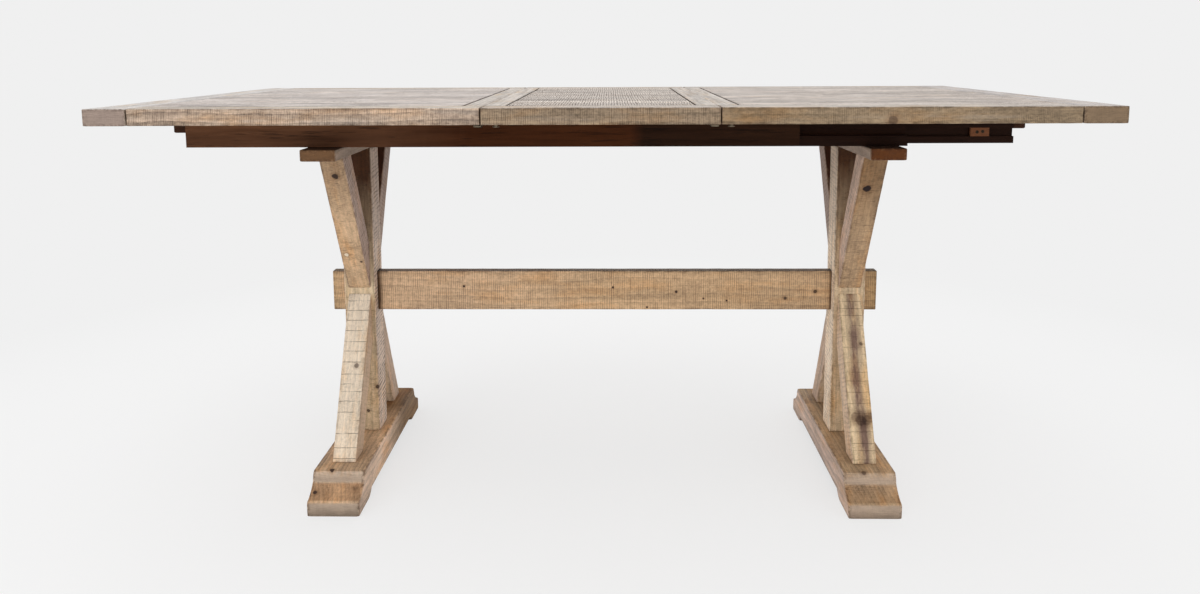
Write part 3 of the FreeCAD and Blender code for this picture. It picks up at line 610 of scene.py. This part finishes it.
def ring_of(width, depth, ease):
    """Points round a section with eased corners: across, deep, normal across, normal deep and rim."""
    ring = []
    half_width, half_depth = width / 2, depth / 2
    loop_x = max(half_width - ease - rim_width, half_width / 2)
    loop_y = max(half_depth - ease - rim_width, half_depth / 2)
    for quarter, (sign_x, sign_y) in enumerate(((1, 1), (-1, 1), (-1, -1), (1, -1))):
        start = quarter * math.pi / 2
        before = (sign_x * half_width, sign_y * loop_y, sign_x, 0, 0)
        after = (sign_x * loop_x, sign_y * half_depth, 0, sign_y, 0)
        if quarter % 2:
            before, after = after, before
        ring.append(before)
        for step in range(arc_steps + 1):
            turn = start + step / arc_steps * math.pi / 2
            out_x, out_y = math.cos(turn), math.sin(turn)
            x = sign_x * (half_width - ease) + ease * out_x
            y = sign_y * (half_depth - ease) + ease * out_y
            ring.append((x, y, out_x, out_y, 1))
        ring.append(after)
    return ring


class Shape:
    """Points, faces and surface values that become one mesh piece."""

    def __init__(self):
        self.points, self.faces, self.values = [], [], {}
        self.tint = 0.0
        self.pale = 0.0

    def point(self, place, grain, rim, end, normal, side):
        self.points.append(place)
        levels = {"grain": grain, "rim": rim, "end": end, "up": max(0.0, normal.z), "side": side,
                  "tint": self.tint, "pale": self.pale}
        for key, level in levels.items():
            self.values.setdefault(key, []).append(level)

    def timber(self, near, far, across, width, ease, seed, step):
        """A board or leg. near and far are its ends, each a pair of points on opposite faces."""
        origin = (near[0] + near[1]) / 2
        run = (far[0] + far[1]) / 2 - origin
        length = run.length
        along = run.normalized()
        deep = along.cross(across).normalized()
        offset = grain_offset(seed)
        stations = self.stations(length, ease, step)
        for distance, inset, rim, end in stations:
            share = distance / length
            front = near[0].lerp(far[0], share)
            back = near[1].lerp(far[1], share)
            middle = (front + back) / 2
            depth_line = back - front
            into = depth_line.normalized()
            section = ring_of(width - 2 * inset, depth_line.length - 2 * inset, max(ease - inset, ease / 8))
            for x, y, out_x, out_y, corner in section:
                normal = across * out_x + into * out_y
                place = middle + across * x + into * y
                if corner:
                    roughness = noise.noise((place + offset) * 55) * 0.5 + 0.5
                    chip = max(0.0, noise.noise((place + offset) * 21) - 0.35) * 2
                    inwards = min(1.0, distance / ease, (length - distance) / ease)
                    place = place - normal * board_wear * (roughness + chip) * inwards
                rel = place - origin
                grain = Vector((rel.dot(along), rel.dot(across), rel.dot(deep))) + offset
                worn = 0 if inset > ease else max(rim, corner)
                self.point(place, grain, worn, end, normal, abs(out_x))
        self.skin(len(stations), len(section))

    def stations(self, length, ease, step):
        """Places of the rings along a length: (distance, inset, rim, end)."""
        start = [(0.0, ease + rim_width, 0, 1)]
        for index in range(arc_steps + 1):
            turn = index / arc_steps * math.pi / 2
            distance, inset = ease - ease * math.cos(turn), ease - ease * math.sin(turn)
            start.append((distance, inset, 1, 1 - index / arc_steps))
        rim_end = ease + rim_width
        start.append((rim_end, 0.0, 0, 0))
        middle_length = length - 2 * rim_end
        pieces = max(1, round(middle_length / step))
        middle = [(rim_end + middle_length * index / pieces, 0.0, 0, 0) for index in range(1, pieces)]
        finish = [(length - distance, inset, rim, end) for distance, inset, rim, end in reversed(start)]
        return start + middle + finish

    def skin(self, rings, count):
        """Faces over the last rings of points, closed at both ends."""
        first = len(self.points) - rings * count
        for low in range(first, first + (rings - 1) * count, count):
            for index in range(count):
                after = (index + 1) % count
                high = low + count
                self.faces.append((low + index, low + after, high + after, high + index))
        last = first + (rings - 1) * count
        self.faces.append(tuple(first + index for index in reversed(range(count))))
        self.faces.append(tuple(last + index for index in range(count)))

    def foot(self, outline, x_low, x_high, seed, profile_light):
        """A foot's outline in the YZ plane carried along X, with its long edges eased."""
        offset = grain_offset(seed)
        normals = outline_normals(outline)
        stations = self.stations(x_high - x_low, foot_ease, ring_step["foot"])
        for distance, inset, rim, end in stations:
            x = x_low + distance
            inwards = min(1.0, distance / foot_ease, (x_high - x_low - distance) / foot_ease)
            for (y, z), (out_y, out_z) in zip(outline, normals):
                normal = Vector((0, out_y, out_z))
                worn = foot_wear * (noise.noise((Vector((x, y, z)) + offset) * 45) * 0.5 + 0.5) * rim
                pull = inset + worn * inwards
                place = Vector((x, y - out_y * pull, z - out_z * pull))
                grain = Vector((place.y, place.x, place.z)) + offset
                # The surface shows end grain where it faces along the foot
                blunt = max(0.0, min(1.0, (abs(normal.y) - 0.8) / 0.19))
                self.pale = foot_pale(y, z) * (1 - end) * profile_light
                self.point(place, grain, rim, blunt * (1 - end), normal * (1 - end), end)
        self.skin(len(stations), len(outline))

    def make(self, name, body, nodes, material, slot):
        """Turn the collected points into a piece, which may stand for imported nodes."""
        mesh = bpy.data.meshes.new(name)
        mesh.from_pydata([tuple(point) for point in self.points], [], self.faces)
        for key, rows in self.values.items():
            if key == "grain":
                made = mesh.attributes.new(key, "FLOAT_VECTOR", "POINT")
                made.data.foreach_set("vector", [level for row in rows for level in row])
            else:
                made = mesh.attributes.new(key, "FLOAT", "POINT")
                made.data.foreach_set("value", [float(row) for row in rows])
        fixed = bmesh.new()
        fixed.from_mesh(mesh)
        bmesh.ops.recalc_face_normals(fixed, faces=fixed.faces)
        fixed.to_mesh(mesh)
        fixed.free()
        mesh.polygons.foreach_set("use_smooth", [True] * len(mesh.polygons))
        mesh.materials.append(materials[material])
        piece = placed(name, mesh)
        piece.modifiers.new("even_normals", "WEIGHTED_NORMAL")
        if nodes:
            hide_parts(*nodes)
        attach(piece, body)


def outline_normals(outline):
    """Outward normals, longer at corners, of an outline that runs anticlockwise seen from +X."""
    normals = []
    for index, here in enumerate(outline):
        before, after = outline[index - 1], outline[(index + 1) % len(outline)]
        first = Vector((here[1] - before[1], before[0] - here[0])).normalized()
        second = Vector((after[1] - here[1], here[0] - after[0])).normalized()
        both = (first + second).normalized()
        reach = 1 / max(0.5, both.dot(first))
        normals.append((both.x * reach, both.y * reach))
    return normals


def bulged(start, end, bulge, steps):
    """Points of an arc from start to end that stands out to the right of the chord by bulge."""
    chord = Vector((end[0] - start[0], end[1] - start[1]))
    side = Vector((chord.y, -chord.x)).normalized()
    points = []
    for step in range(1, steps + 1):
        share = step / steps
        lift = bulge * 4 * share * (1 - share)
        point = Vector(start) + chord * share + side * lift
        points.append((point.x, point.y))
    return points


def foot_outline(low, high):
    """The ogee profile of a foot in the YZ plane, from its box, anticlockwise seen from +X."""
    half = (high.y - low.y) / 2
    top = high.z
    top_end = half - foot_top_setback
    shoulder = (top_end + foot_shoulder_run, top - foot_shoulder_drop)
    nose_y, nose_z = half - foot_nose_radius, foot_cove_end_height - foot_nose_radius
    pad_end = half - foot_pad_length
    arch_end = (pad_end - foot_arch_run, foot_arch_rise)
    back = [(arch_end[0] / 2, foot_arch_rise), arch_end]
    back += bulged(arch_end, (pad_end, 0.0), foot_arch_bulge, foot_curve_steps["arch"])
    back += [((pad_end + half) / 2, 0.0), (half, 0.0), (half, nose_z)]
    for step in range(1, foot_curve_steps["nose"] + 1):
        turn = step / foot_curve_steps["nose"] * math.pi / 2
        back.append((nose_y + foot_nose_radius * math.cos(turn), nose_z + foot_nose_radius * math.sin(turn)))
    back += bulged((nose_y, foot_cove_end_height), shoulder, -foot_cove_bulge, foot_curve_steps["cove"])
    back += bulged(shoulder, (top_end, top), foot_shoulder_bulge, foot_curve_steps["shoulder"])
    back += [(top_end / 2, top)]
    front = [(-y, z) for y, z in reversed(back)]
    return back + [(0.0, top)] + front + [(0.0, foot_arch_rise)]


def foot_pale(y, z):
    """How far a foot's profile is painted lighter or darker: its shoulder gets a painted highlight and its
    hollow painted shade.
    """
    if z < foot_cove_end_height or abs(y) < foot_pale_start:
        return 0.0
    return 1.0 if z > foot_shoulder_height else -1.0


def long_board(shape, low, high, axis, seed, ease, step):
    """A straight board between two corners, with its grain along X or Y."""
    if axis == "x":
        middle = (low.y + high.y) / 2
        ends = [[Vector((x, middle, z)) for z in (low.z, high.z)] for x in (low.x, high.x)]
        shape.timber(*ends, Vector((0, 1, 0)), high.y - low.y, ease, seed, step)
    else:
        middle = (low.x + high.x) / 2
        ends = [[Vector((middle, y, z)) for z in (low.z, high.z)] for y in (low.y, high.y)]
        shape.timber(*ends, Vector((1, 0, 0)), high.x - low.x, ease, seed, step)


def body_of(node):
    return frame["nodes"][node]["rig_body"]


def tint_of(seed):
    """A board's own tone, between -1 and 1."""
    return math.sin(seed * 2.4)


def tongue(shape, gap, axis):
    """A tongue half-way down a joint, so that no joint is open right through. gap is (x, y, x, y)."""
    inset = (0, tongue_bite) if axis == "x" else (tongue_bite, 0)
    middle = (underside + table_height) / 2
    low = Vector((gap[0] - inset[0], gap[1] - inset[1], middle - tongue_half))
    high = Vector((gap[2] + inset[0], gap[3] + inset[1], middle + tongue_half))
    long_board(shape, low, high, axis, first_seed["tongue"], tongue_bite / 2, ring_step["plank"])


def panel(part, x_low, x_high, material):
    """The planks of one panel between the border boards, and the tongues of their joints."""
    node = part + "_planks"
    seed = first_seed[part]
    shape, tongues = Shape(), Shape()
    y = field_front
    for index, share in enumerate(plank_shares):
        y_next = y - 2 * field_front * share
        low = Vector((x_low, y + plank_joint / 2, underside))
        high = Vector((x_high, y_next - plank_joint / 2, table_height))
        shape.tint = tint_of(seed + index)
        long_board(shape, low, high, "x", seed + index, top_ease, ring_step["plank"])
        if index:
            tongue(tongues, (x_low, y - plank_joint / 2, x_high, y + plank_joint / 2), "x")
        y = y_next
    shape.make(part + "_plank_woods", body_of(node), [node], material, "top_wood")
    return tongues


def single(node, low, high, axis, seed, material, slot, ease, step):
    """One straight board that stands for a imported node."""
    shape = Shape()
    shape.tint = 0.3 * tint_of(seed)
    long_board(shape, Vector(low), Vector(high), axis, seed, ease, step)
    shape.make(node.removesuffix("_board") + "_wood", body_of(node), [node], material, slot)


def cross_piece(node, seed):
    """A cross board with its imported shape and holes, and the values that its wood needs."""
    mesh = frame["nodes"][node].data.copy()
    offset = grain_offset(seed)
    grain = mesh.attributes.new("grain", "FLOAT_VECTOR", "POINT")
    for vertex, item in zip(mesh.vertices, grain.data):
        item.vector = Vector((vertex.co.y, vertex.co.x, vertex.co.z)) + offset
    tests = {"up": lambda normal: max(0.0, normal.z), "side": lambda normal: abs(normal.x)}
    for key, test in tests.items():
        made = mesh.attributes.new(key, "FLOAT", "CORNER")
        for face in mesh.polygons:
            for corner in face.loop_indices:
                made.data[corner].value = test(face.normal)
    mesh.materials.clear()
    mesh.materials.append(materials["cross_board"])
    piece = placed(node + "_wood", mesh)
    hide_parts(node)
    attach(piece, body_of(node))


def slanted_leg(node, seed, material, sign, upper):
    """A leg between the beam or the foot and the post. sign is -1 for the front ones."""
    low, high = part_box(node)
    reach = max(abs(low.y), abs(high.y))
    post_face = min(abs(low.y), abs(high.y))
    far_height, near_height = (high.z, low.z) if upper else (low.z, high.z)
    slope = (reach - post_face) / (far_height - near_height)
    level_width = leg_thickness * math.hypot(1, slope)
    upright_width = level_width / slope
    x = (low.x + high.x) / 2
    outer = [Vector((x, sign * y, far_height)) for y in (reach, reach - level_width)]
    inner = [Vector((x, sign * post_face, z)) for z in (near_height, near_height + upright_width)]
    shape = Shape()
    shape.timber(outer, inner, Vector((1, 0, 0)), high.x - low.x, frame_ease, seed, ring_step["leg"])
    shape.make(node + "_wood", body_of(node), [node], material, "frame_wood")


def screw_heads(name, node, places, out):
    """Countersunk screws with a cross recess, just proud of a packed face that looks along out."""
    mesh = bpy.data.meshes.new(name)
    out = Vector(out)
    across = out.orthogonal().normalized()
    up = out.cross(across)
    # Each ring is a share of the radius, a share of the cross recess, and a share of the height
    rings = ((1.0, 0.0, 0.0), (0.97, 0.0, 1.0), (0.0, 0.62, 1.0), (0.0, 0.5, 0.15))
    points, faces, marks = [], [], []
    for number, place in enumerate(places):
        first = len(points)
        for share, cross, lift in rings:
            for index in range(screw_points):
                turn = 2 * math.pi * index / screw_points
                arm = cross * (0.3 + 0.7 * abs(math.cos(2 * (turn + 0.7 * number))) ** 6)
                reach = screw_radius * (share + arm)
                side = across * math.cos(turn) + up * math.sin(turn)
                points.append(Vector(place) + side * reach + out * screw_height * lift)
        last = first + (len(rings) - 1) * screw_points
        for low in range(first, last, screw_points):
            high = low + screw_points
            for index in range(screw_points):
                after = (index + 1) % screw_points
                faces.append((low + index, low + after, high + after, high + index))
                marks.append(high == last)
        faces.append(tuple(range(last, last + screw_points)))
        marks.append(True)
    mesh.from_pydata([tuple(point) for point in points], [], faces)
    mesh.materials.append(materials["screw"])
    mesh.materials.append(materials["recess"])
    mesh.polygons.foreach_set("material_index", [int(mark) for mark in marks])
    piece = placed(name, mesh)
    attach(piece, body_of(node))


# Top
end_low, end_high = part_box("left_end_board")
right_end_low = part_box("right_end_board")[0]
left_cross_low, left_cross_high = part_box("left_cross_board")
right_cross_low, right_cross_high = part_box("right_cross_board")
leaf_left_low, leaf_left_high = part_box("leaf_left_cross_board")
leaf_right_low, leaf_right_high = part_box("leaf_right_cross_board")
underside, table_height = end_low.z, end_high.z
table_front = end_low.y
field_front = left_cross_low.y

for number, node in enumerate(("left_end_board", "right_end_board")):
    single(node, *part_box(node), "y", first_seed["end"] + number, node, "top_wood", board_ease,
           ring_step["end"])
runs = {
    "left": (end_high.x + end_gap, left_cross_high.x - board_gap),
    "right": (right_cross_low.x + board_gap, right_end_low.x - end_gap),
    "leaf": (leaf_left_low.x + board_gap, leaf_right_high.x - board_gap),
}
for number, (part, (x_low, x_high)) in enumerate(runs.items()):
    for place, y_low, y_high in (("front", table_front, field_front), ("back", -field_front, -table_front)):
        single(f"{part}_{place}_board", (x_low, y_low, underside), (x_high, y_high, table_height), "x",
               first_seed[place] + number, part + "_border", "top_wood", board_ease, ring_step["border"])
panels = {
    "left": (end_high.x, left_cross_low.x - plank_groove, "left_plank"),
    "right": (right_cross_high.x + plank_groove, right_end_low.x, "right_plank"),
    "leaf": (leaf_left_high.x + plank_groove, leaf_right_low.x - plank_groove, "leaf"),
}
for part, (x_low, x_high, wood) in panels.items():
    tongues = panel(part, x_low, x_high, wood)
    if part != "left":
        tongue(tongues, (x_low - plank_groove, field_front, x_low, -field_front), "y")
    if part != "right":
        tongue(tongues, (x_high, field_front, x_high + plank_groove, -field_front), "y")
    if part != "leaf":
        near = x_low if part == "left" else x_high - end_gap
        tongue(tongues, (near, table_front + tongue_setback, near + end_gap, field_front), "y")
        tongue(tongues, (near, -field_front, near + end_gap, -table_front - tongue_setback), "y")
    tongues.make(part + "_tongues", body_of(part + "_planks"), [], "tongue", "top_wood")
for number, board in enumerate(("left_cross", "right_cross", "leaf_left_cross", "leaf_right_cross")):
    cross_piece(board + "_board", first_seed["cross"] + number)

# Trestles
for number, side in enumerate(("left", "right")):
    foot_low, foot_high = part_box(side + "_foot")
    beam_low, beam_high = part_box(side + "_beam")
    post_low, post_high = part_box(side + "_post")
    foot_shape = Shape()
    foot_shape.foot(foot_outline(foot_low, foot_high), foot_low.x, foot_high.x,
                    first_seed["foot"] + number, foot_profile_light[side])
    foot_shape.make(side + "_foot_wood", "base", [side + "_foot"], side + "_foot", "frame_wood")
    post_shape = Shape()
    half = (post_high.y - post_low.y) / 2
    middle = (post_low.x + post_high.x) / 2
    ends = [[Vector((middle, y, z)) for y in (-half, half)] for z in (foot_high.z, beam_low.z)]
    post_shape.timber(*ends, Vector((1, 0, 0)), post_high.x - post_low.x, frame_ease,
                      first_seed["post"] + number, ring_step["post"])
    post_shape.make(side + "_post_wood", "base", [side + "_post"], side + "_post", "frame_wood")
    single(side + "_beam", beam_low, beam_high, "y", first_seed["beam"] + number, side + "_beam",
           "frame_wood", frame_ease, ring_step["beam"])
    for place, sign in (("front", -1), ("back", 1)):
        for height, upper in (("upper", True), ("lower", False)):
            wood = "back_" + height if place == "back" else f"{side}_front_{height}"
            node = f"{side}_{place}_{height}_leg"
            seed = first_seed["leg"] + number * 4 + sign + 2 * upper
            slanted_leg(node, seed, wood, sign, upper)
single("stretcher", *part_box("stretcher"), "x", first_seed["stretcher"], "stretcher", "frame_wood",
       frame_ease, ring_step["stretcher"])

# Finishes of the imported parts, by how their names end
finishes = {
    "outer_rail": ("outer_rail",), "rail": ("inner_rail", "fixed_rail"), "stop": ("closing_stop",),
    "cleat": ("end_cleat",), "peg": ("stretcher_pegs",), "gear": ("rack", "pinion"),
    "bolt": ("pinion_axles", "rail_bolts"), "plate": ("lock_plates",), "zinc": ("keepers", "lever"),
    "brass": ("_pins",),
}
for node, thing in frame["nodes"].items():
    if thing.hide_render:
        continue
    chosen = next(finish for finish, endings in finishes.items() if node.endswith(endings))
    for place in thing.material_slots:
        place.material = materials[chosen]

# Screws
for side, out in (("left", 1), ("right", -1)):
    low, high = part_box(side + "_closing_stop")
    face = high.y if out > 0 else low.y
    middle_x, middle_z = (low.x + high.x) / 2, (low.z + high.z) / 2
    spots = [(middle_x - stop_screw_inset, face, middle_z),
             (middle_x + stop_screw_inset, face, middle_z + stop_screw_rise)]
    screw_heads(side + "_stop_screws", side + "_closing_stop", spots, (0, out, 0))
    low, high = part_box(side + "_end_cleat")
    width = high.y - low.y
    spots = [((low.x + high.x) / 2, low.y + width * share, low.z) for share in cleat_screw_shares]
    screw_heads(side + "_cleat_screws", side + "_end_cleat", spots, (0, 0, -1))


# Floor, lights and camera
def floor():
    """A pale floor that takes the shadow near the table and fades to the plain background."""
    mesh = bpy.data.meshes.new("floor")
    signs = ((-1, -1), (1, -1), (1, 1), (-1, 1))
    corners = [(x * floor_reach, y * floor_reach, -floor_drop) for x, y in signs]
    mesh.from_pydata(corners, [], [(0, 1, 2, 3)])
    graph = Graph(bpy.data.materials.new("floor_paper"))
    place = graph.here()
    away = graph.vector("LENGTH", place)
    level = graph.span(graph.noise(place, (300, 300, 300)), 0.3, 0.7, *floor_paper)
    mesh.materials.append(graph.finish(Base_Color=graph.grey(level), Roughness=0.9, Specular_IOR_Level=0.0))
    strength = graph.span(away, *floor_fade, floor_glow_level, background_level)
    glow = graph.node("Emission", {"Strength": strength})
    camera_ray = graph.node("LightPath").outputs["Is Camera Ray"]
    share = graph.times(graph.span(away, *floor_fade, floor_glow, 1.0), camera_ray)
    graph.show("Material Output", share, graph.tree.nodes["Principled BSDF"], glow)
    return placed("floor", mesh)


def lamp(name, place, target, width, depth, power):
    """A soft rectangular lamp that faces a point."""
    data = bpy.data.lights.new(name, "AREA")
    data.shape = "RECTANGLE"
    data.size = width
    data.size_y = depth
    data.energy = power
    thing = placed(name, data)
    thing.location = place
    thing.rotation_euler = (Vector(target) - Vector(place)).to_track_quat("-Z", "Y").to_euler()
    return thing


floor()
lamp("overhead_lamp", (-0.3, -0.2, 3.0), (0, 0, 0.6), 3.4, 2.6, 16.0)
lamp("front_left_lamp", (-2.4, -3.4, 1.9), (0, 0, 0.4), 2.2, 1.8, 30.0)
lamp("front_right_lamp", (2.8, -3.2, 1.4), (0, 0, 0.4), 1.8, 1.6, 12.0)
lamp("back_lamp", (0.6, 3.4, 2.2), (0, 0, 0.6), 2.4, 1.6, 10.0)

world = bpy.data.worlds.new("studio")
bpy.context.scene.world = world
sky = Graph(world)
backdrop = sky.tree.nodes["Background"]
sky.put(backdrop.inputs["Color"], (background_level, background_level, background_level, 1.0))
ambient = sky.node("Background", {"Color": (1.0, 1.0, 1.0, 1.0), "Strength": ambient_level})
sky.show("World Output", sky.node("LightPath").outputs["Is Camera Ray"], ambient, backdrop)

camera_data = bpy.data.cameras.new("camera")
camera_data.lens = camera_lens
camera_data.sensor_width = camera_sensor
camera_data.shift_x, camera_data.shift_y = camera_shift
camera = placed("camera", camera_data)
camera.location = camera_place
turn = Matrix.Rotation(camera_yaw, 3, "Z") @ Matrix.Rotation(math.pi / 2 + camera_pitch, 3, "X")
camera.rotation_euler = (turn @ Matrix.Rotation(camera_roll, 3, "Z")).to_euler()
bpy.context.scene.camera = camera
bpy.context.scene.view_settings.view_transform = "Standard"
